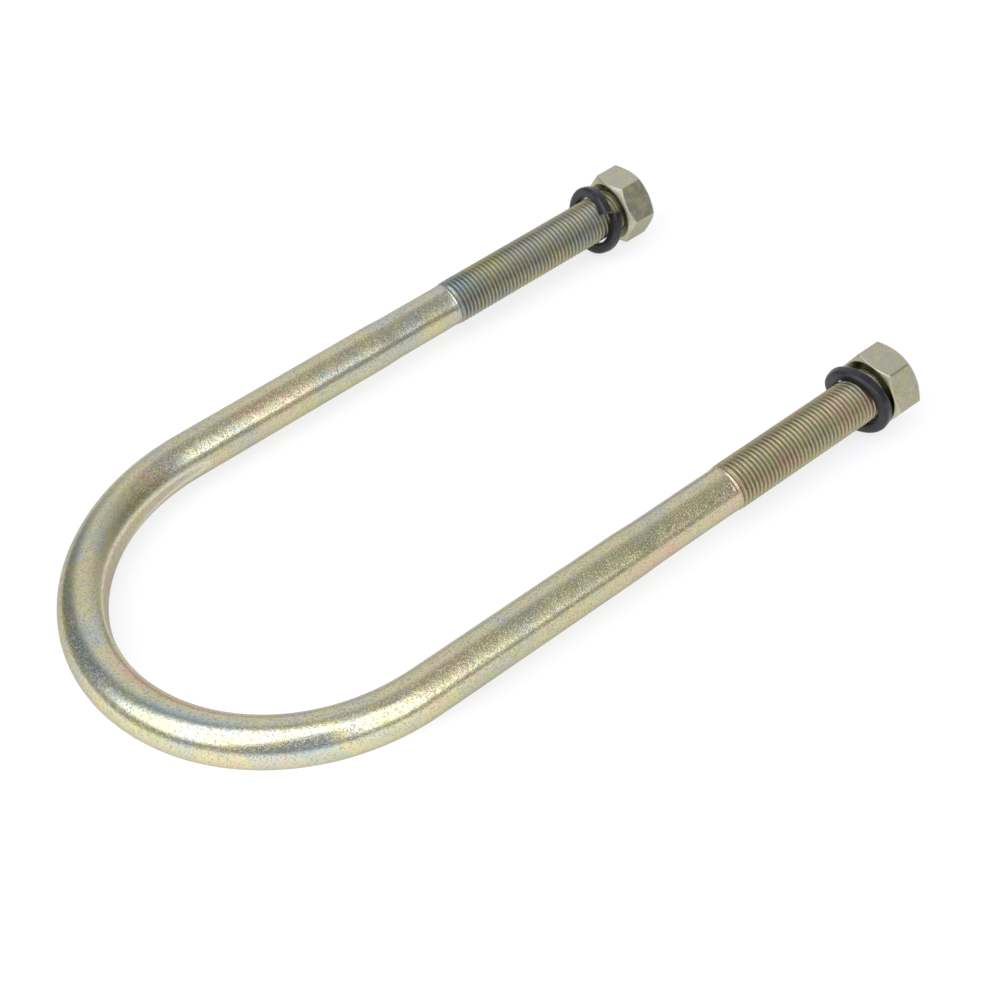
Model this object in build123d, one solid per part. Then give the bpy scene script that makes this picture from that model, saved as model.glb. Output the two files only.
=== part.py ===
from build123d import *
import os
from math import cos, radians, sin, sqrt, tan

# Round-bend U-bolt with a hex nut and a split spring washer on each leg.
# Frame: origin at the centre of the saddle pressed into the bend, the legs run along +X, the
# left leg is on +Y, and +Z is the normal of the plane that the U lies in.  Sizes are in
# millimetres.  Each piece is drawn from the bend's own centre, and moved in build().

# --- U-bolt rod ---
leg_spacing = 105.8          # centre to centre of the legs
rod_diameter = 12.5          # plain rod, slightly under the thread
neck_diameter = 12.1         # reduced ends, because the thread is rolled up from them
neck_start = 60.0            # where the reduction starts, from the bend's centre
neck_taper = 8.0
leg_length = 151.5           # from the bend's centre to the tips of the legs
tip_chamfer = 1.0

# --- saddle pressed into the inside of the bend by the round former ---
saddle_radius = 46.70        # a little more than half the clear gap between the legs
saddle_shift = 0.35          # the saddle's centre lies this far behind the bend's centre
groove_radius = 9.0          # section radius of the groove in the former
saddle_flat = 3.0            # width of the cylindrical band along the groove's floor

# --- thread, 1/2-20 UNF right hand ---
thread_diameter = 12.7
thread_pitch = 1.27
thread_depth = 0.69
crest_flat = 0.16
root_flat = 0.16
thread_start = {"left": 87.0, "right": 93.0}
lead_in = 1.0                # cone from the neck up to the first crest
shallow_turns = [0.35, 0.70]  # depth of the first rolled turns, as a share of the full depth

# --- nuts ---
nut_across_flats = 18.6
nut_height = 9.1
nut_bore_clearance = 0.05    # radial, over the crests of the thread
nut_countersink = 0.55
deep_chamfer = {"circle": 0.94, "angle": 35.0}   # circle as a share of the across-flats size
light_chamfer = {"circle": 0.98, "angle": 28.0}
nut_seat = {"left": 145.5, "right": 142.4}       # where the inner face of each nut sits
nut_clock = {"left": -2.2, "right": 4.5}         # rotation of a corner away from +Y, degrees
deep_side_inward = {"left": True, "right": False}

# --- split spring washers ---
washer_outer_diameter = 19.8
washer_inner_diameter = 13.7
washer_thickness = 3.1
washer_corner = 0.9
washer_rise = 3.2            # axial offset between the two cut ends
washer_gap = 2.5             # opening of the split, degrees
washer_seat = {"left": 139.95, "right": 138.6}
washer_split = {"left": 140.0, "right": 310.0}   # where the split points, degrees from +Y
washer_tilt = {"left": 15.0, "right": 15.0}      # lean of the loose washer on the leg
washer_lean_towards = {"left": 80.0, "right": 217.0}
washer_drop = {"left": 0.2, "right": 0.0}        # how far it hangs below the leg's axis

sides = {"left": 1, "right": -1}
bend_radius = leg_spacing / 2
rod_radius = rod_diameter / 2
neck_radius = neck_diameter / 2
thread_radius = thread_diameter / 2


def thread_outline(start):
    """Half section of a leg end from the reduction to the tip: distance along the leg, radius."""
    points = [
        (neck_start, 0),
        (neck_start, rod_radius),
        (neck_start + neck_taper, neck_radius),
        (start, neck_radius),
        (start + lead_in, thread_radius),
    ]
    crest_end = start + lead_in + crest_flat
    flank = (thread_pitch - crest_flat - root_flat) / 2
    turn = 0
    while crest_end + thread_pitch < leg_length - tip_chamfer:
        share = shallow_turns[turn] if turn < len(shallow_turns) else 1.0
        root = thread_radius - thread_depth * share
        points += [
            (crest_end, thread_radius),
            (crest_end + flank, root),
            (crest_end + flank + root_flat, root),
            (crest_end + 2 * flank + root_flat, thread_radius),
        ]
        crest_end += thread_pitch
        turn += 1
    points += [
        (leg_length - tip_chamfer, thread_radius),
        (leg_length, thread_radius - tip_chamfer),
        (leg_length, 0),
    ]
    return points


def threaded_end(side):
    """The threaded end of one leg, turned about the leg's own axis."""
    section = make_face(Polyline(*thread_outline(thread_start[side]), close=True))
    turned = revolve(section, axis=Axis.X)
    return Pos(0, sides[side] * bend_radius, 0) * turned


def rod():
    """The bent rod as far as the reduced ends."""
    quarter = bend_radius
    left_end = (neck_start, quarter)
    right_end = (neck_start, -quarter)
    path = Line(left_end, (0, quarter))
    path += ThreePointArc((0, quarter), (-quarter, 0), (0, -quarter))
    path += Line((0, -quarter), right_end)
    section = Plane(origin=(*left_end, 0), z_dir=(-1, 0, 0)) * Circle(rod_radius)
    return sweep(section, path=path)


def former():
    """The grooved wheel that the bend was formed on."""
    sag = groove_radius - sqrt(groove_radius**2 - (saddle_flat / 2) ** 2)
    rim = Pos(saddle_radius, 0) * Rectangle(2 * rod_diameter, rod_diameter)
    groove = Pos(saddle_radius - sag + groove_radius, 0) * Circle(groove_radius)
    floor = Pos(saddle_radius - rod_radius, 0) * Rectangle(rod_diameter, saddle_flat)
    wheel = revolve(Plane.XZ * (rim - groove + floor), axis=Axis.Z)
    return Pos(-saddle_shift, 0, 0) * wheel


def u_bolt():
    body = rod()
    for side in sides:
        body += threaded_end(side)
    return body - former()


def chamfer_envelope(inner, outer):
    """Turned blank that cuts the corner chamfers on both ends of a nut."""
    corner = nut_across_flats / 2 / cos(radians(30))
    beyond = corner + 1.0
    near_circle = inner["circle"] * nut_across_flats / 2
    far_circle = outer["circle"] * nut_across_flats / 2
    near_rise = (beyond - near_circle) * tan(radians(inner["angle"]))
    far_rise = (beyond - far_circle) * tan(radians(outer["angle"]))
    outline = Polyline(
        (0, 0),
        (0, near_circle),
        (near_rise, beyond),
        (nut_height - far_rise, beyond),
        (nut_height, far_circle),
        (nut_height, 0),
        close=True,
    )
    return revolve(make_face(outline), axis=Axis.X)


def nut_bore():
    """Bore over the thread's crests, with a countersink at each face."""
    radius = thread_radius + nut_bore_clearance
    outline = Polyline(
        (-1, 0),
        (-1, radius + nut_countersink + 1),
        (nut_countersink, radius),
        (nut_height - nut_countersink, radius),
        (nut_height + 1, radius + nut_countersink + 1),
        (nut_height + 1, 0),
        close=True,
    )
    return revolve(make_face(outline), axis=Axis.X)


def nut(side):
    ends = [deep_chamfer, light_chamfer] if deep_side_inward[side] else [light_chamfer, deep_chamfer]
    corner = nut_across_flats / 2 / cos(radians(30))
    hexagon = Plane.YZ * (Rot(0, 0, nut_clock[side]) * RegularPolygon(corner, 6))
    body = extrude(hexagon, amount=nut_height)
    body = body & chamfer_envelope(*ends)
    body -= nut_bore()
    return Pos(nut_seat[side], sides[side] * bend_radius, 0) * body


def spring_washer(side):
    """One coil of rounded rectangular wire with its ends sprung apart."""
    mean_radius = (washer_outer_diameter + washer_inner_diameter) / 4
    width = (washer_outer_diameter - washer_inner_diameter) / 2
    turn = (360 - washer_gap) / 360
    coil = Helix(pitch=washer_rise, height=washer_rise * turn, radius=mean_radius, lefthand=True)
    wire_section = Plane(origin=coil @ 0, x_dir=(1, 0, 0), z_dir=coil % 0)
    ring = sweep(
        wire_section * RectangleRounded(width, washer_thickness, washer_corner),
        path=coil,
        is_frenet=True,
    )
    # centre the coil on its own height, then turn its axis from +Z onto +X
    ring = Pos(0, 0, -washer_rise * turn / 2) * ring
    ring = Plane(origin=(0, 0, 0), x_dir=(0, 1, 0), z_dir=(1, 0, 0)) * ring
    # the coil starts at +Y and runs backwards, so its start belongs just before the split
    ring = Rot(washer_split[side] - washer_gap / 2, 0, 0) * ring
    lean = radians(washer_lean_towards[side])
    lean_axis = Axis((0, 0, 0), (0, sin(lean), -cos(lean)))
    ring = ring.rotate(lean_axis, washer_tilt[side])
    return Pos(washer_seat[side], sides[side] * bend_radius, -washer_drop[side]) * ring


def build():
    """Every piece, moved so that the saddle's centre is the origin."""
    parts = {"u_bolt": u_bolt()}
    for side in sides:
        parts[f"{side}_nut"] = nut(side)
        parts[f"{side}_spring_washer"] = spring_washer(side)
    return {name: Pos(saddle_shift, 0, 0) * shape for name, shape in parts.items()}


os.makedirs("parts", exist_ok=True)
for name, shape in build().items():
    export_step(shape, f"parts/{name}.step")
    print(f"{name}: volume {shape.volume:.1f} mm3")
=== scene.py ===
"""Looks for the round-bend U-bolt: zinc-passivated rod with fine threads, two hex nuts, two black
split spring washers.  The pieces are drawn in millimetres, and MM turns them into metres as they
reach a mesh.  The floor, the depths of bump and the camera are in metres, and noise scales are per
metre.  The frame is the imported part's own: origin at the saddle's centre, legs along +X."""

from math import atan2, ceil, cos, degrees, exp, hypot, pi, radians, sin, sqrt, tan

import bmesh
import bpy
from mathutils import Matrix, Vector, noise


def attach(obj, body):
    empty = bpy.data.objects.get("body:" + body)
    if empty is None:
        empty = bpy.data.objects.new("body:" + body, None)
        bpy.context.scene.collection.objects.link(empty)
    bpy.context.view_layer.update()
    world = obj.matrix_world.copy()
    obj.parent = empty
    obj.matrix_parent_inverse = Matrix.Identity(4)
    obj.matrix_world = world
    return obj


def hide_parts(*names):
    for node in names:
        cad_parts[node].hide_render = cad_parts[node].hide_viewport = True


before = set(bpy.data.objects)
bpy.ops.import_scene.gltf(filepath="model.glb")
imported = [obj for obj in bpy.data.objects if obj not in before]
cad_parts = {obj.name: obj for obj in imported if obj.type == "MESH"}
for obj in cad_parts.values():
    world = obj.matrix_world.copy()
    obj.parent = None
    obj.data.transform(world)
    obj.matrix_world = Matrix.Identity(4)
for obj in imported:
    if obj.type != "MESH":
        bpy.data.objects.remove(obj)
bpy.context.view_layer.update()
MM = 0.001

# --- the part's own sizes, as in its CAD source ---
BEND_X = 0.35                       # the bend's centre lies this far from the saddle's centre
BEND_RADIUS = 52.9
ROD_RADIUS = 6.25
NECK_RADIUS = 6.05                  # reduced ends that the threads are rolled up from
NECK_START = 60.0
NECK_TAPER = 8.0
LEG_LENGTH = 151.5                  # from the bend's centre
TIP_CHAMFER = 1.0
SADDLE_RADIUS = 46.70
GROOVE_RADIUS = 9.0
SADDLE_FLAT = 3.0
THREAD_RADIUS = 6.35
THREAD_PITCH = 1.27
THREAD_DEPTH = 0.69
ROOT_HALF_FLAT = 0.08
FLANK_RUN = 0.475                   # along the leg, from the edge of a root to the edge of a crest
THREAD_START = {"left": 87.0, "right": 93.0}
NUT_FLAT = 9.3                      # half of the across-flats size
NUT_HEIGHT = 9.1
NUT_SEAT = {"left": 145.5, "right": 142.4}
NUT_CLOCK = {"left": -2.2, "right": 4.5}
NUT_CHAMFERS = {                    # (circle as a share of the half flat, angle), bend side first
    "left": [(0.94, 35.0), (0.98, 28.0)],
    "right": [(0.98, 28.0), (0.94, 35.0)],
}
WASHER_OUTER = 19.8
WASHER_INNER = 13.7
WASHER_THICK = 3.1
WASHER_CORNER = 0.9
WASHER_RISE = 3.2
WASHER_GAP = 2.5
WASHER_SEAT = {"left": 139.95, "right": 138.6}
WASHER_SPLIT = {"left": 140.0, "right": 310.0}
WASHER_TILT = {"left": 15.0, "right": 15.0}
WASHER_LEAN = {"left": 80.0, "right": 217.0}
WASHER_DROP = {"left": 0.2, "right": 0.0}
SIDES = {"left": 1, "right": -1}

# --- tints of the passivate: distance along the rod from the middle of the bend (mm, the left leg
# above 0), section angle from the inner crown, half-length (mm), half-width (degrees), warmth ---
TINT_SPOTS = [
    (-25, 54, 17, 18, 1.5),
    (24, 25, 22, 22, 0.7),
    (48, 10, 20, 25, 0.4),
    (-3, 62, 14, 22, 0.35),
    (14, 108, 34, 20, -0.9),
    (-24, 92, 15, 12, -0.8),
    (-47, 150, 16, 14, -1.0),
    (-58, 190, 30, 30, -0.12),
    (-130, 185, 60, 60, 0.28),
    (-190, 120, 40, 120, 0.4),
    (200, 30, 45, 70, -0.5),
    (110, 60, 40, 30, 0.15),
]

# --- details that the CAD leaves out ---
FLANK_STRAIGHT = 0.4                # share of a flank's slope that is straight, the rest rounds it
THREAD_PLAY = 0.10                  # radial, between the nut's thread and the rod's
THREAD_WOBBLE = 0.012
RUN_OUT = 1.4                       # shallow turns ahead of the thread's start
RUN_OUT_GROWTH = 2.8                # length over which they grow to the full depth
RUN_OUT_CONE = 0.6                  # the rod starts to widen this far ahead of them
RIM_OFFSET = 0.08                   # the rim peaks where the former clears the rod by this
RIM_WIDTH = 0.11                    # how fast it fades as that clearance changes
RIM_HEIGHT = 0.06
RIM_LIMIT = 7.4                     # radius beyond which the former presses up no rim
SADDLE_DENTS = 0.03
SADDLE_BLEND = 0.08                 # width over which the saddle's edge is rounded
SLOW_HILLS, QUICK_HILLS = 0.030, 0.012
NUT_FILLET = 0.35                   # between two flats
NUT_MOUTH = 0.62                    # radial, of the countersink beyond the thread's crests
NUT_BORE_MOUTH = 0.60               # the same where the bore's rings take over
NUT_MOUTH_SLOPE = 1.15              # radial for each millimetre along the axis
NUT_FACE_RING = 7.8                 # radius of an extra ring of points on the end faces
NUT_SHOULDER, NUT_BROW = 0.25, 0.30  # fillets at the inner and outer edge of a chamfer
WASHER_LIP = 0.12                   # length of the bevel at a cut end
WASHER_END_FACE = [                 # (share of the bevel's length, size of the section, cut)
    (0, 0.55, 1),
    (0, 0.90, 1),
    (0.3, 0.965, 0.8),
    (1, 1.0, 0.2),
]
WASHER_ROUGHNESS = 0.015

# --- mesh resolution ---
AROUND_BEND = 144
AROUND_THREAD = 72
STEPS_PER_PITCH = 12
SADDLE_END, SADDLE_STEP = 5.2, 0.4  # the saddle runs out over the first millimetres of a leg
PLAIN_START, PLAIN_STEP = 6.5, 2.0
PLAIN_STOP = 2.6                    # ahead of the thread's start
THREAD_LEAD = 2.0                   # the fine rings start this far ahead of it
WASHER_STEP = 3.0                   # degrees
FORMER_RANGE = (4.0, 7.5)           # radii between which the former's surface is looked for
FORMER_HALVINGS = 18


# ---------------------------------------------------------------- shared mesh helpers
def smooth_step(a, b, x):
    t = min(1.0, max(0.0, (x - a) / (b - a)))
    return t * t * (3 - 2 * t)


def smooth_min(a, b, width):
    h = max(width - abs(a - b), 0.0) / width
    return min(a, b) - h * h * width / 4


class Skin:
    """Rings of points joined into one closed mesh, with a value or two stored on each point."""

    def __init__(self, *layers):
        self.points = []
        self.faces = []
        self.layers = {name: [] for name in layers}

    def ring(self, points, **values):
        first = len(self.points)
        self.points += [Vector(p) * MM for p in points]
        for name, layer in self.layers.items():
            layer += values[name] if name in values else [0.0] * len(points)
        return list(range(first, len(self.points)))

    def join(self, a, b):
        """Faces between two rings. The second may hold as many points as the first, or half."""
        n = len(b)
        if len(a) == n:
            self.faces += [(a[i], a[(i + 1) % n], b[(i + 1) % n], b[i]) for i in range(n)]
        else:
            m = len(a)
            self.faces += [
                (a[2 * i], a[2 * i + 1], a[(2 * i + 2) % m], b[(i + 1) % n], b[i]) for i in range(n)
            ]

    def cap(self, ring):
        self.faces.append(tuple(ring))

    def build(self, name, material):
        mesh = bpy.data.meshes.new(name)
        mesh.from_pydata(self.points, [], self.faces)
        for layer, values in self.layers.items():
            mesh.attributes.new(layer, "FLOAT", "POINT").data.foreach_set("value", values)
        work = bmesh.new()
        work.from_mesh(mesh)
        bmesh.ops.recalc_face_normals(work, faces=work.faces)
        for face in work.faces:
            face.smooth = True
        work.to_mesh(mesh)
        work.free()
        mesh.materials.append(material)
        piece = bpy.data.objects.new(name, mesh)
        bpy.context.scene.collection.objects.link(piece)
        return piece


def place(piece, body, node):
    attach(piece, body)
    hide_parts(node)


# ---------------------------------------------------------------- the threaded, bent rod
def thread_groove(x, theta):
    """0 on a crest and 1 at a root of the right-hand thread, x along the leg, theta about it."""
    phase = (x / THREAD_PITCH - theta / (2 * pi)) % 1.0
    from_root = abs(phase - 0.5) * THREAD_PITCH
    t = min(1.0, max(0.0, (from_root - ROOT_HALF_FLAT) / FLANK_RUN))
    return 1.0 - (FLANK_STRAIGHT * t + (1 - FLANK_STRAIGHT) * t * t * (3 - 2 * t))


def former_reach(z):
    """Radius of the bending former at height z."""
    sag = GROOVE_RADIUS - sqrt(GROOVE_RADIUS**2 - (SADDLE_FLAT / 2) ** 2)
    flank = SADDLE_RADIUS - sag + GROOVE_RADIUS - sqrt(GROOVE_RADIUS**2 - z * z)
    return max(SADDLE_RADIUS, flank)


def pressed_radius(centre, inward, phi):
    """Radius at which a ray from the rod's centre line meets the former."""
    c, s = cos(phi), sin(phi)

    def clear(r):
        x, y = centre.x + r * c * inward.x, centre.y + r * c * inward.y
        return hypot(x, y) - former_reach(r * s)

    low, high = FORMER_RANGE
    if c <= 0 or clear(high) > 0:
        return high
    for _ in range(FORMER_HALVINGS):
        middle = (low + high) / 2
        if clear(middle) > 0:
            low = middle
        else:
            high = middle
    return low


def rod_unevenness(along, phi):
    """Slow hills of a few hundredths of a millimetre left by drawing and bending."""
    slow = noise.noise(Vector((along / 14.0, 1.3 * cos(phi), 1.3 * sin(phi))))
    quick = noise.noise(Vector((along / 4.0 + 40, 2.6 * cos(phi), 2.6 * sin(phi))))
    return SLOW_HILLS * slow + QUICK_HILLS * quick


def warmth(along, phi):
    """Tint of the passivate at one spot: orange above 0, blue-grey below."""
    total = 0.0
    for spot_along, spot_phi, length, width, amount in TINT_SPOTS:
        turn = (phi - spot_phi + 180) % 360 - 180
        total += amount * exp(-(((along - spot_along) / length) ** 2) - (turn / width) ** 2)
    return total


def rod_ring(skin, centre, inward, along, count, radius_at, share=0.0):
    """One ring of the rod. radius_at gives (radius, groove, saddle, rim) for a section angle."""
    thread = [share] * count
    points, groove, saddle, rim, warm = [], [], [], [], []
    for i in range(count):
        phi = 2 * pi * i / count
        r, g, s, edge = radius_at(phi)
        points.append(centre + (inward * cos(phi) + Vector((0, 0, 1)) * sin(phi)) * r)
        groove.append(g)
        saddle.append(s)
        rim.append(edge)
        warm.append(warmth(along, degrees(phi)))
    return skin.ring(points, groove=groove, saddle=saddle, rim=rim, warm=warm, thread=thread)


def plain_radius(centre, inward, along):
    """Radius where the rod has no thread, with the saddle, its rim and the necks."""
    neck = smooth_step(NECK_START, NECK_START + NECK_TAPER, centre.x - BEND_X)
    plain = ROD_RADIUS + (NECK_RADIUS - ROD_RADIUS) * neck

    def at(phi):
        cut = pressed_radius(centre, inward, phi)
        from_rim = (cut - plain - RIM_OFFSET) / RIM_WIDTH
        rim = exp(-(from_rim**2)) if cut < RIM_LIMIT else 0.0
        dents = SADDLE_DENTS * noise.noise(Vector((along / 1.5, 5 * phi, 7.0)))
        pressed = smooth_step(-0.02, 0.09, plain - cut)
        r = smooth_min(plain + rod_unevenness(along, phi), cut + dents * pressed, SADDLE_BLEND)
        return r + RIM_HEIGHT * rim, 0.0, pressed, rim

    return at


def threaded_radius(side, x, along):
    """Radius in the threaded length, x from the bend's centre."""
    depth_in = x - THREAD_START[side] + RUN_OUT
    to_tip = LEG_LENGTH - TIP_CHAMFER - x
    cone = smooth_step(-RUN_OUT_CONE, RUN_OUT_GROWTH, depth_in)
    full = NECK_RADIUS + (THREAD_RADIUS - NECK_RADIUS) * cone
    share = smooth_step(0.0, RUN_OUT_GROWTH, depth_in) * smooth_step(-0.3, 0.9, to_tip)

    def at(phi):
        theta = pi - phi if side == "left" else phi
        g = thread_groove(x + BEND_X, theta)
        wobble = THREAD_WOBBLE * noise.noise(Vector((x * 1.7, 2 * cos(phi), 2 * sin(phi))))
        plain = rod_unevenness(along, phi) * (1 - share)
        return full + plain + wobble * share - THREAD_DEPTH * share * g, g * share, 0.0, 0.0

    return at


def steps(start, end, size):
    """Evenly spaced values from start to end, no further apart than size."""
    count = max(1, ceil(abs(end - start) / size))
    return [start + (end - start) * i / count for i in range(count + 1)]


def leg_rings(skin, side):
    """Rings from the end of the bend to the tip of one leg, with the tip closed."""
    y = SIDES[side] * BEND_RADIUS
    inward = Vector((0, -SIDES[side], 0))
    start = THREAD_START[side]
    half_bend = pi * BEND_RADIUS / 2
    rings = []

    def add(x, count, radius_for):
        """One ring at x. radius_for takes its centre and its distance along the rod."""
        along = SIDES[side] * (half_bend + x)
        centre = Vector((x + BEND_X, y, 0))
        share = smooth_step(-0.3, 2.5, x - start + RUN_OUT)
        radius_at = radius_for(centre, along)
        rings.append(rod_ring(skin, centre, inward, along, count, radius_at, share))

    saddle_end = steps(SADDLE_STEP, SADDLE_END, SADDLE_STEP)
    for x in saddle_end + steps(PLAIN_START, start - PLAIN_STOP, PLAIN_STEP):
        add(x, AROUND_BEND, lambda centre, along: plain_radius(centre, inward, along))
    threaded_end = LEG_LENGTH - TIP_CHAMFER
    for x in steps(start - THREAD_LEAD, threaded_end, THREAD_PITCH / STEPS_PER_PITCH):
        add(x, AROUND_THREAD, lambda centre, along, x=x: threaded_radius(side, x, along))
    tip_radius = THREAD_RADIUS - TIP_CHAMFER
    tip = [
        (threaded_end + 0.05, THREAD_RADIUS - 0.06),
        (LEG_LENGTH - 0.12, tip_radius + 0.10),
        (LEG_LENGTH - 0.03, tip_radius - 0.03),
        (LEG_LENGTH, tip_radius - 0.15),
        (LEG_LENGTH, tip_radius - 0.6),
        (LEG_LENGTH - 0.03, 3.0),
        (LEG_LENGTH - 0.06, 1.2),
    ]
    for x, r in tip:
        add(x, AROUND_THREAD, lambda centre, along, r=r: lambda phi: (r, 0.0, 0.0, 0.0))
    for a, b in zip(rings, rings[1:]):
        skin.join(a, b)
    skin.cap(rings[-1])
    return rings[0]


def make_rod(material):
    skin = Skin("groove", "saddle", "rim", "warm", "thread")
    bend = []
    for step in range(AROUND_BEND + 1):
        turn = pi * step / AROUND_BEND
        outward = Vector((-sin(turn), cos(turn), 0))
        centre = outward * BEND_RADIUS + Vector((BEND_X, 0, 0))
        along = BEND_RADIUS * (pi / 2 - turn)
        radius_at = plain_radius(centre, -outward, along)
        bend.append(rod_ring(skin, centre, -outward, along, AROUND_BEND, radius_at))
    for a, b in zip(bend, bend[1:]):
        skin.join(a, b)
    skin.join(bend[0], leg_rings(skin, "left"))
    skin.join(bend[-1], leg_rings(skin, "right"))
    return skin.build("zinc_u_bolt", material)


# ---------------------------------------------------------------- hex nuts
def rounded_hexagon(angle, fillet=NUT_FILLET):
    """Distance from the axis to a hexagon with rounded corners, angle measured from a corner."""
    from_corner = radians((angle + 30.0) % 60.0 - 30.0)
    centre = (NUT_FLAT - fillet) / cos(pi / 6)
    tangent = atan2(fillet / 2, centre + fillet * cos(pi / 6))
    if abs(from_corner) < tangent:
        across = centre * sin(from_corner)
        return centre * cos(from_corner) + sqrt(fillet**2 - across**2)
    return NUT_FLAT / cos(pi / 6 - abs(from_corner))


def rounded_corner(a, b, c, radius, points=3):
    """Points of the arc that rounds corner b of the line a-b-c."""
    a, b, c = Vector(a), Vector(b), Vector(c)
    back, ahead = (a - b), (c - b)
    bend = pi - back.angle(ahead)
    reach = min(radius * tan(bend / 2), 0.45 * back.length, 0.45 * ahead.length)
    start, end = b + back.normalized() * reach, b + ahead.normalized() * reach
    arc = []
    for i in range(points):
        t = i / (points - 1)
        arc.append(start * (1 - t) ** 2 + b * 2 * t * (1 - t) + end * t * t)
    return [tuple(p) for p in arc]


def nut_profile(side, angle):
    """Closed half section of the nut at one angle from a corner: (x, radius, edge wear, groove).
    The wear value also carries painted light: above 0 a painted highlight on the chamfers and their
    edges, below 0 painted shade on the bearing face.
    """
    hexagon = rounded_hexagon(angle)
    mouth = THREAD_RADIUS + NUT_MOUTH
    ends = []
    for circle, slope in NUT_CHAMFERS[side]:
        ring = circle * NUT_FLAT
        rise = (hexagon - ring) * tan(radians(slope))
        face = (0.0, mouth + 0.3)
        shoulder, brow, side_wall = (0.0, ring), (rise, hexagon), (rise + 2.0, hexagon)
        # wear below 0 on the bearing face is painted shade for the black washer's reflection; wear
        # above 0 on the chamfer and brow is edge wear with a painted highlight
        line = [(0.0, mouth, -0.7), (0.0, mouth + 0.15, -1.0), (0.0, NUT_FACE_RING, -1.0)]
        line.append((0.0, ring - 0.35, -1.0))
        line += [(x, r, 0.8) for x, r in rounded_corner(face, shoulder, brow, NUT_SHOULDER)]
        line += [(x, r, 1.0) for x, r in rounded_corner(shoulder, brow, side_wall, NUT_BROW)]
        line.append((rise + 0.45, hexagon, 0.0))
        ends.append(line)
    near, far = ends
    profile = list(near)
    last, first = near[-1][0], NUT_HEIGHT - far[-1][0]
    profile += [(last + (first - last) * i / 4, hexagon, 0.0) for i in (1, 2, 3)]
    profile += [(NUT_HEIGHT - x, r, w) for x, r, w in reversed(far)]
    return profile


def nut_angles():
    """Angles from a corner, closer together at the corners."""
    half = [0.0, 0.5, 0.95, 2.2, 5.0, 10.0, 15.0, 20.0, 25.0, 30.0]
    sector = half + [60.0 - a for a in reversed(half[1:-1])]
    return [60.0 * k + a for k in range(6) for a in sector]


def make_nut(side, material):
    angles = nut_angles()
    seat = NUT_SEAT[side] + BEND_X
    y = SIDES[side] * BEND_RADIUS
    sections = [nut_profile(side, a) for a in angles]
    bore = steps(NUT_HEIGHT, 0.0, THREAD_PITCH / STEPS_PER_PITCH)[1:-1]
    skin = Skin("groove", "wear")
    rings = []

    def add(at):
        points, groove, wear = [], [], []
        for i, angle in enumerate(angles):
            theta = radians(angle + NUT_CLOCK[side])
            x, r, w, g = at(i, theta)
            points.append((seat + x, y + r * cos(theta), r * sin(theta)))
            groove.append(g)
            wear.append(w)
        rings.append(skin.ring(points, groove=groove, wear=wear))

    for row in range(len(sections[0])):
        add(lambda i, theta, row=row: (*sections[i][row], 0.0))
    for x in bore:
        from_end = min(x, NUT_HEIGHT - x)
        cone = THREAD_RADIUS + NUT_BORE_MOUTH - from_end * NUT_MOUTH_SLOPE

        def at(i, theta, x=x, cone=cone):
            g = thread_groove(seat + x, theta)
            cut = THREAD_RADIUS - THREAD_DEPTH * g + THREAD_PLAY
            # the groove value here darkens the bore's thread roots as painted shade
            return x, max(cut, cone), 0.0, 0.6 * (1 - g) + 0.2

        add(at)
    for a, b in zip(rings, rings[1:] + rings[:1]):
        skin.join(a, b)
    return skin.build(f"{side}_hex_nut", material)


# ---------------------------------------------------------------- split spring washers
def wire_section():
    """Rounded rectangle of the washer's wire: (radial, axial, edge)."""
    half_w, half_t = (WASHER_OUTER - WASHER_INNER) / 4, WASHER_THICK / 2
    r = WASHER_CORNER
    points = []
    for quadrant in range(4):
        cx = (half_w - r) * (1 if quadrant in (0, 3) else -1)
        cy = (half_t - r) * (1 if quadrant in (0, 1) else -1)
        for i in range(6):
            a = radians(90 * quadrant + 18 * i)
            points.append((cx + r * cos(a), cy + r * sin(a), 0.3 + 0.4 * sin(2 * a) ** 2))
        nx = (half_w - r) * (1 if quadrant in (2, 3) else -1)
        ny = (half_t - r) * (1 if quadrant in (0, 3) else -1)
        if quadrant % 2 == 0:
            points.append(((cx + nx) / 2, half_t * (1 if quadrant == 0 else -1), 0.0))
        else:
            points.append((half_w * (-1 if quadrant == 1 else 1), (cy + ny) / 2, 0.0))
    return points


def make_washer(side, material):
    section = wire_section()
    mean = (WASHER_OUTER + WASHER_INNER) / 4
    turn = 360.0 - WASHER_GAP
    rise = WASHER_RISE * turn / 360.0
    lean = radians(WASHER_LEAN[side])
    tilt = Matrix.Rotation(radians(WASHER_TILT[side]), 4, Vector((0, sin(lean), -cos(lean))))
    seat = Vector((WASHER_SEAT[side] + BEND_X, SIDES[side] * BEND_RADIUS, -WASHER_DROP[side]))
    skin = Skin("wear", "cut")
    rings = []

    def add(angle, shrink, cut):
        theta = radians(WASHER_SPLIT[side] - WASHER_GAP / 2 - angle)
        x = WASHER_RISE * angle / 360.0 - rise / 2
        radial = Vector((0, cos(theta), sin(theta)))
        along = Vector((WASHER_RISE / (2 * pi), mean * sin(theta), -mean * cos(theta))).normalized()
        axial = radial.cross(along)
        points = []
        for across, up, _ in section:
            rough = WASHER_ROUGHNESS * noise.noise(Vector((angle / 9, across, up)))
            local = radial * (mean + across * shrink + rough) + axial * (up * shrink + rough)
            points.append(seat + tilt @ (Vector((x, 0, 0)) + local))
        wear = [w for _, _, w in section]
        rings.append(skin.ring(points, wear=wear, cut=[cut] * len(points)))

    lip = degrees(WASHER_LIP / mean)
    for share, shrink, cut in WASHER_END_FACE:
        add(lip * share, shrink, cut)
    for angle in steps(WASHER_STEP, turn - WASHER_STEP, WASHER_STEP):
        add(angle, 1.0, 0.0)
    for share, shrink, cut in reversed(WASHER_END_FACE):
        add(turn - lip * share, shrink, cut)
    for a, b in zip(rings, rings[1:]):
        skin.join(a, b)
    skin.cap(rings[0])
    skin.cap(rings[-1])
    return skin.build(f"{side}_spring_ring", material)


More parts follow.
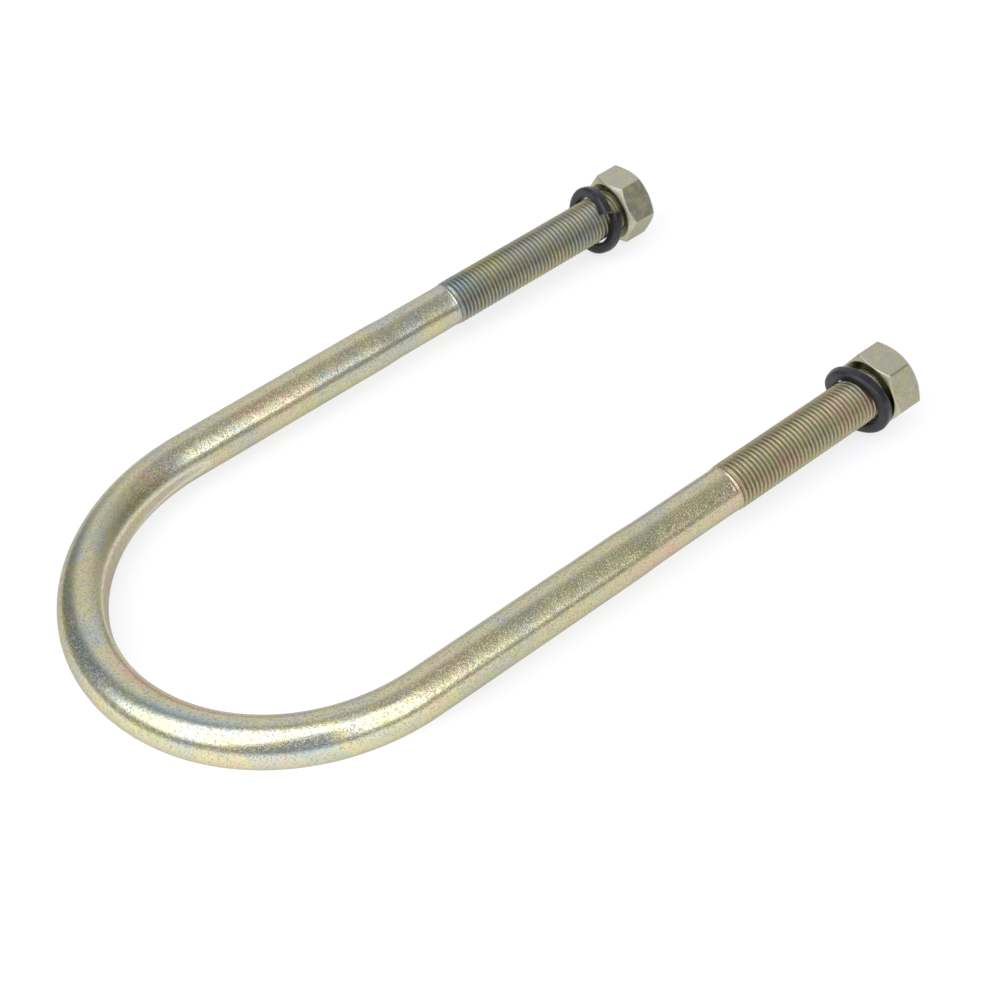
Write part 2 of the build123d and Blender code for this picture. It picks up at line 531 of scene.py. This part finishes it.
# ---------------------------------------------------------------- materials
class Nodes:
    """Short calls that add nodes to one tree and wire them up."""

    def __init__(self, tree):
        self.tree = tree

    def add(self, kind, inputs=None, **settings):
        node = self.tree.nodes.new(kind)
        for key, value in settings.items():
            setattr(node, key, value)
        for key, value in (inputs or {}).items():
            if isinstance(value, bpy.types.NodeSocket):
                self.tree.links.new(value, node.inputs[key])
            else:
                node.inputs[key].default_value = value
        return node

    def maths(self, operation, a, b=0.0, c=0.0):
        return self.add("ShaderNodeMath", {0: a, 1: b, 2: c}, operation=operation).outputs[0]

    def span(self, value, low, high, out_low=0.0, out_high=1.0):
        """Smooth step from out_low at low to out_high at high, level outside them."""
        ends = {"From Min": low, "From Max": high, "To Min": out_low, "To Max": out_high}
        return self.add(
            "ShaderNodeMapRange", {"Value": value, **ends}, interpolation_type="SMOOTHSTEP"
        ).outputs[0]

    def noise(self, vector, scale, detail=2.0, rough=0.5, distortion=0.0):
        return self.add(
            "ShaderNodeTexNoise",
            {
                "Vector": vector,
                "Scale": scale,
                "Detail": detail,
                "Roughness": rough,
                "Distortion": distortion,
            },
        ).outputs["Fac"]

    def ramp(self, value, stops):
        node = self.add("ShaderNodeValToRGB", {"Fac": value})
        elements = node.color_ramp.elements
        while len(elements) < len(stops):
            elements.new(0.5)
        for element, (position, colour) in zip(elements, stops):
            element.position = position
            element.color = (*colour, 1.0)
        return node.outputs["Color"]

    def mix(self, share, a, b, blend="MIX"):
        node = self.add("ShaderNodeMix", data_type="RGBA", blend_type=blend)
        for key, value in ((0, share), (6, a), (7, b)):
            if isinstance(value, bpy.types.NodeSocket):
                self.tree.links.new(value, node.inputs[key])
            elif key == 0:
                node.inputs[key].default_value = value
            else:
                node.inputs[key].default_value = (*value, 1.0)
        return node.outputs[2]

    def shade(self, colour, amount):
        grey = self.add("ShaderNodeCombineColor", {0: amount, 1: amount, 2: amount}).outputs[0]
        return self.mix(1.0, colour, grey, "MULTIPLY")

    def dot(self, vector, fixed):
        return self.add(
            "ShaderNodeVectorMath", {0: vector, 1: fixed}, operation="DOT_PRODUCT"
        ).outputs["Value"]

    def layer(self, name):
        return self.add("ShaderNodeAttribute", attribute_name=name).outputs["Fac"]


def new_material(name):
    material = bpy.data.materials.new(name)
    material.use_nodes = True
    material.node_tree.nodes.clear()
    nodes = Nodes(material.node_tree)
    shader = nodes.add("ShaderNodeBsdfPrincipled")
    output = nodes.add("ShaderNodeOutputMaterial")
    material.node_tree.links.new(shader.outputs[0], output.inputs["Surface"])
    return material, nodes, shader


def wire_shader(nodes, shader, colour, shine, height, depth, metallic, edge_tint=None):
    """Give a shader its colour, roughness and bump. depth is the bump's full depth in metres."""
    bump = nodes.add(
        "ShaderNodeBump", {"Height": height, "Strength": 1.0, "Distance": depth}
    ).outputs[0]
    shader.inputs["Metallic"].default_value = metallic
    if edge_tint:
        shader.inputs["Specular Tint"].default_value = (*edge_tint, 1.0)
    for name, value in (("Base Color", colour), ("Roughness", shine), ("Normal", bump)):
        nodes.tree.links.new(value, shader.inputs[name])


ZINC_TONES = [
    (0.10, (0.41, 0.465, 0.445)),   # blue-grey
    (0.30, (0.50, 0.51, 0.41)),     # grey olive
    (0.48, (0.555, 0.53, 0.365)),   # khaki gold
    (0.60, (0.60, 0.56, 0.32)),     # yellow gold
    (0.74, (0.62, 0.52, 0.36)),     # tan
    (0.95, (0.68, 0.46, 0.34)),     # pinkish orange
]
YELLOW_GREEN = (0.50, 0.53, 0.25)
PINK = (0.60, 0.46, 0.41)
PALE_ZINC = (0.82, 0.79, 0.63)
# painted shade: dark olive on the nut's bearing face, standing in for the black washer's reflection
PAINTED_SHADE_OLIVE = (0.16, 0.145, 0.075)
ZINC_EDGE = (0.66, 0.66, 0.66)          # tint of the reflection at a grazing angle
BLACK_TONES = [
    (0.35, (0.012, 0.012, 0.015)),
    (0.55, (0.022, 0.021, 0.023)),
    (0.75, (0.040, 0.035, 0.032)),
]
RUBBED_BLACK = (0.10, 0.10, 0.10)
CUT_STEEL = (0.20, 0.195, 0.18)
ROD_BUMP, NUT_BUMP, WASHER_BUMP = 0.00007, 0.00004, 0.00003


def zinc_rod():
    material, nodes, shader = new_material("zinc_rod")
    where = nodes.add("ShaderNodeTexCoord").outputs["Object"]
    groove, saddle, rim = nodes.layer("groove"), nodes.layer("saddle"), nodes.layer("rim")
    warm, thread = nodes.layer("warm"), nodes.layer("thread")
    clouds = nodes.noise(where, 60.0, 5.0, 0.68, 0.5)
    patches = nodes.noise(where, 190.0, 4.0, 0.65, 0.4)
    peel = nodes.noise(where, 950.0, 2.0, 0.5)
    grain = nodes.noise(where, 2600.0, 2.0, 0.6)
    dots = nodes.span(nodes.noise(where, 1900.0, 2.0, 0.6), 0.54, 0.66)
    tone = nodes.maths("MULTIPLY_ADD", clouds, 1.7, 0.48 - 0.85)  # 0.48 where clouds is 0.5
    tone = nodes.maths("ADD", tone, nodes.maths("MULTIPLY_ADD", patches, 0.6, -0.30))
    tone = nodes.maths("MULTIPLY_ADD", warm, 0.38, tone)
    colour = nodes.ramp(tone, ZINC_TONES)
    green = nodes.span(nodes.noise(where, 90.0, 3.0, 0.6, 0.8), 0.56, 0.62, 0.0, 0.42)
    colour = nodes.mix(green, colour, YELLOW_GREEN)
    pink = nodes.span(nodes.noise(where, 130.0, 3.0, 0.6, 1.2), 0.58, 0.64, 0.0, 0.40)
    pink = nodes.maths("ADD", pink, nodes.maths("MULTIPLY", saddle, 0.25))
    colour = nodes.mix(pink, colour, PINK)
    colour = nodes.mix(nodes.maths("MULTIPLY", rim, 0.55), colour, PALE_ZINC)
    pits = nodes.span(patches, 0.60, 0.72, 0.0, 0.35)
    grain_and_shade = nodes.maths("MULTIPLY_ADD", dots, -0.24, nodes.span(grain, 0.30, 0.60, 0.90, 1.04))
    grain_and_shade = nodes.maths("SUBTRACT", grain_and_shade, nodes.maths("MULTIPLY", saddle, pits))
    # painted shade in the thread roots
    grain_and_shade = nodes.maths("MULTIPLY", grain_and_shade, nodes.span(groove, 0.35, 1.0, 1.0, 0.6))
    # painted shade: the whole threaded length a little darker
    grain_and_shade = nodes.maths("MULTIPLY", grain_and_shade, nodes.span(thread, 0.0, 1.0, 1.0, 0.80))
    # darker in the saddle: partly its pressed surface, partly painted shade inside the bend
    grain_and_shade = nodes.maths("MULTIPLY", grain_and_shade, nodes.span(saddle, 0.0, 1.0, 1.0, 0.90))
    colour = nodes.shade(colour, grain_and_shade)
    shine = nodes.span(nodes.noise(where, 420.0, 3.0, 0.6), 0.3, 0.7, 0.15, 0.24)
    shine = nodes.maths("ADD", shine, nodes.maths("MULTIPLY", thread, 0.14))
    shine = nodes.maths("ADD", shine, nodes.maths("MULTIPLY", saddle, 0.20))
    shine = nodes.maths("ADD", shine, nodes.maths("MULTIPLY", rim, 0.15))
    height = nodes.maths(
        "ADD", nodes.maths("MULTIPLY", peel, 0.35), nodes.maths("MULTIPLY", grain, 0.40)
    )
    height = nodes.maths("ADD", height, nodes.maths("MULTIPLY", patches, 0.8))
    height = nodes.maths("ADD", height, nodes.maths("MULTIPLY", dots, -0.42))
    wire_shader(nodes, shader, colour, shine, height, ROD_BUMP, 1.0, ZINC_EDGE)
    return material


def zinc_nut():
    material, nodes, shader = new_material("zinc_nut")
    where = nodes.add("ShaderNodeTexCoord").outputs["Object"]
    groove, wear = nodes.layer("groove"), nodes.layer("wear")
    clouds = nodes.noise(where, 120.0, 4.0, 0.62, 0.8)
    patches = nodes.noise(where, 420.0, 3.0, 0.6)
    grain = nodes.noise(where, 2400.0, 2.0, 0.6)
    tone = nodes.maths("MULTIPLY_ADD", clouds, 1.1, 0.46 - 0.55)  # 0.46 where clouds is 0.5
    tone = nodes.maths("ADD", tone, nodes.maths("MULTIPLY_ADD", patches, 0.4, -0.2))
    colour = nodes.ramp(tone, ZINC_TONES)
    green = nodes.span(nodes.noise(where, 170.0, 3.0, 0.6, 0.8), 0.56, 0.68, 0.0, 0.35)
    colour = nodes.mix(green, colour, YELLOW_GREEN)
    pink = nodes.span(nodes.noise(where, 210.0, 3.0, 0.6, 1.2), 0.56, 0.68, 0.0, 0.4)
    colour = nodes.mix(pink, colour, PINK)
    # pale chamfers and edges: partly edge wear, partly a painted highlight
    pale = nodes.maths("MAXIMUM", wear, 0.0)
    painted_shade = nodes.maths("MAXIMUM", nodes.maths("MULTIPLY", wear, -1.0), 0.0)
    colour = nodes.mix(nodes.maths("MULTIPLY", pale, 0.45), colour, PALE_ZINC)
    # painted shade: dark olive on the bearing face for the black washer's reflection
    colour = nodes.mix(nodes.maths("MULTIPLY", painted_shade, 0.8), colour, PAINTED_SHADE_OLIVE)
    # grain, and painted shade in the bore's thread roots
    grain_and_shade = nodes.maths(
        "MULTIPLY",
        nodes.span(grain, 0.30, 0.60, 0.74, 0.88),
        nodes.span(groove, 0.2, 1.0, 1.0, 0.35),
    )
    colour = nodes.shade(colour, grain_and_shade)
    shine = nodes.span(patches, 0.3, 0.7, 0.18, 0.30)
    shine = nodes.maths("ADD", shine, nodes.maths("MULTIPLY", pale, 0.22))
    height = nodes.maths(
        "ADD", nodes.maths("MULTIPLY", grain, 0.35), nodes.maths("MULTIPLY", patches, 1.2)
    )
    wire_shader(nodes, shader, colour, shine, height, NUT_BUMP, 1.0, ZINC_EDGE)
    return material


def black_washer():
    material, nodes, shader = new_material("black_washer")
    where = nodes.add("ShaderNodeTexCoord").outputs["Object"]
    wear, cut = nodes.layer("wear"), nodes.layer("cut")
    clouds = nodes.noise(where, 260.0, 3.0, 0.6)
    grain = nodes.noise(where, 1900.0, 3.0, 0.65)
    colour = nodes.ramp(clouds, BLACK_TONES)
    rubbed = nodes.maths("MULTIPLY", wear, nodes.span(grain, 0.42, 0.68))
    colour = nodes.mix(nodes.maths("MULTIPLY", rubbed, 0.30), colour, RUBBED_BLACK)
    colour = nodes.mix(nodes.maths("MULTIPLY", cut, 0.55), colour, CUT_STEEL)
    shine = nodes.span(grain, 0.3, 0.7, 0.28, 0.44)
    wire_shader(nodes, shader, colour, shine, grain, WASHER_BUMP, 0.35)
    return material


# ---------------------------------------------------------------- pieces
rod_finish, nut_finish, washer_finish = zinc_rod(), zinc_nut(), black_washer()
place(make_rod(rod_finish), "u_bolt", "u_bolt")
for side in SIDES:
    place(make_nut(side, nut_finish), f"{side}_nut", f"{side}_nut")
    place(
        make_washer(side, washer_finish), f"{side}_washer", f"{side}_spring_washer"
    )


# ---------------------------------------------------------------- floor, light and camera
FLOOR_HALF = 30.0                       # metres
FLOOR_DROP = 0.00002                    # keeps the floor just clear of the pieces
FLOOR_GREY = (0.27, 0.27, 0.275, 1)
ROOM_LEVEL, BACKDROP_LEVEL, BOX_LEVEL = 0.47, 0.50, 2.1
DARK_LEFT_LEVEL, DARK_RIGHT_LEVEL = -0.16, -0.18
NEUTRAL_LIGHT, COOL_LIGHT = (1.0, 1.0, 1.0), (0.98, 1.0, 1.12)
CAMERA_LENS, CAMERA_SENSOR = 66.18, 36.0
CAMERA_PLACE = (-0.120067, -0.288296, 0.327004)


def resting_slope():
    """Heel of the bend, and slope of the floor that the bend and the washers both stand on."""
    heel = Vector((BEND_X - BEND_RADIUS, 0, -ROD_RADIUS)) * MM
    slope = 0.0
    for side in SIDES:
        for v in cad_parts[f"{side}_spring_washer"].data.vertices:
            slope = max(slope, (heel.z - v.co.z) / (v.co.x - heel.x))
    return heel, slope


def make_floor():
    """A pale plane with a glow of its own, which is brighter on the camera's side."""
    heel, slope = resting_slope()
    mesh = bpy.data.meshes.new("floor")
    corners = [(FLOOR_HALF * x, FLOOR_HALF * y) for x, y in ((-1, -1), (1, -1), (1, 1), (-1, 1))]
    points = [(x, y, heel.z - slope * (x - heel.x) - FLOOR_DROP) for x, y in corners]
    mesh.from_pydata(points, [], [(0, 1, 2, 3)])
    floor = bpy.data.objects.new("floor", mesh)
    bpy.context.scene.collection.objects.link(floor)
    material = bpy.data.materials.new("floor_white")
    material.use_nodes = True
    material.node_tree.nodes.clear()
    nodes = Nodes(material.node_tree)
    matt = nodes.add("ShaderNodeBsdfDiffuse", {"Color": FLOOR_GREY}).outputs[0]
    parts = nodes.add(
        "ShaderNodeSeparateXYZ", {0: nodes.add("ShaderNodeTexCoord").outputs["Object"]}
    ).outputs
    forward = nodes.maths(
        "ADD", nodes.maths("MULTIPLY", parts[0], -0.8), nodes.maths("MULTIPLY", parts[1], -0.6)
    )
    level = nodes.span(forward, 0.02, 0.09, 0.74, 1.22)
    glow = nodes.add("ShaderNodeEmission", {"Color": (1, 1, 1, 1), "Strength": level}).outputs[0]
    both = nodes.add("ShaderNodeAddShader", {0: matt, 1: glow}).outputs[0]
    nodes.add("ShaderNodeOutputMaterial", {"Surface": both})
    mesh.materials.append(material)


def softbox(nodes, direction, azimuth, elevation, sides, ends, taper=0.0, edge=0.07):
    """Share of a direction covered by a softbox square on to (azimuth, elevation). A taper above 0
    makes it narrower towards the top."""
    a, e = radians(azimuth), radians(elevation)
    depth = nodes.dot(direction, (cos(e) * cos(a), cos(e) * sin(a), sin(e)))
    safe = nodes.maths("MAXIMUM", depth, 0.001)
    across = nodes.maths("DIVIDE", nodes.dot(direction, (sin(a), -cos(a), 0.0)), safe)
    up = nodes.maths(
        "DIVIDE", nodes.dot(direction, (-sin(e) * cos(a), -sin(e) * sin(a), cos(e))), safe
    )
    across = nodes.maths("MULTIPLY", across, nodes.maths("MULTIPLY_ADD", up, taper, 1.0))
    share = nodes.span(depth, 0.0, 0.1)
    for value, (low, high) in ((across, sides), (up, ends)):
        share = nodes.maths("MULTIPLY", share, nodes.span(value, low - edge, low + edge))
        share = nodes.maths("MULTIPLY", share, nodes.span(value, high + edge, high - edge))
    return share


def make_room():
    """A dim room with two tall softboxes and a pale backdrop, drawn as light by direction."""
    world = bpy.data.worlds.new("studio")
    bpy.context.scene.world = world
    world.use_nodes = True
    world.node_tree.nodes.clear()
    nodes = Nodes(world.node_tree)
    direction = nodes.add("ShaderNodeTexCoord").outputs["Generated"]
    parts = nodes.add("ShaderNodeSeparateXYZ", {0: direction}).outputs
    azimuth = nodes.maths("DEGREES", nodes.maths("ARCTAN2", parts[1], parts[0]))
    height = parts[2]

    def sector(start, full_from, full_to, end, low, high):
        """Share inside an azimuth range, full below the height low and gone above high."""
        share = nodes.maths(
            "MULTIPLY", nodes.span(azimuth, start, full_from), nodes.span(azimuth, end, full_to)
        )
        return nodes.maths("MULTIPLY", share, nodes.span(height, high, low))

    backdrop = sector(-14, 42, 70, 98, 0.74, 0.92)
    dark_left = sector(82, 104, 118, 142, 0.62, 0.92)
    dark_right = sector(-75, -50, -25, -5, 0.50, 0.85)
    boxes = nodes.maths(
        "ADD",
        softbox(nodes, direction, 168, 52, (-0.48, 0.40), (-0.50, 0.75)),
        softbox(nodes, direction, 272, 50, (-0.25, 0.26), (-0.55, 0.55), taper=0.8),
    )
    level = nodes.maths("MULTIPLY_ADD", backdrop, BACKDROP_LEVEL, ROOM_LEVEL)
    level = nodes.maths("MULTIPLY_ADD", dark_left, DARK_LEFT_LEVEL, level)
    level = nodes.maths("MULTIPLY_ADD", dark_right, DARK_RIGHT_LEVEL, level)
    level = nodes.maths("MULTIPLY_ADD", boxes, BOX_LEVEL, level)
    cool = nodes.maths("MAXIMUM", backdrop, boxes)
    colour = nodes.mix(cool, NEUTRAL_LIGHT, COOL_LIGHT)
    seen = nodes.add("ShaderNodeLightPath").outputs["Is Camera Ray"]
    lit = nodes.add("ShaderNodeBackground", {"Color": colour, "Strength": level}).outputs[0]
    plain = nodes.add("ShaderNodeBackground", {"Color": (1, 1, 1, 1)}).outputs[0]
    back = nodes.add("ShaderNodeMixShader", {0: seen, 1: lit, 2: plain}).outputs[0]
    nodes.add("ShaderNodeOutputWorld", {"Surface": back})


def make_camera():
    data = bpy.data.cameras.new("camera")
    data.sensor_width = CAMERA_SENSOR
    data.lens = CAMERA_LENS
    data.clip_start, data.clip_end = 0.01, 50.0
    camera = bpy.data.objects.new("camera", data)
    right = Vector((0.78113, -0.61569, -0.10370))
    down = Vector((-0.50119, -0.51928, -0.69221))
    ahead = Vector((0.37234, 0.59268, -0.71421))
    turn = Matrix((right, -down, -ahead)).transposed().to_4x4()
    camera.matrix_world = Matrix.Translation(Vector(CAMERA_PLACE)) @ turn
    bpy.context.scene.collection.objects.link(camera)
    bpy.context.scene.camera = camera


make_floor()
make_room()
make_camera()
bpy.context.scene.view_settings.view_transform = "Standard"
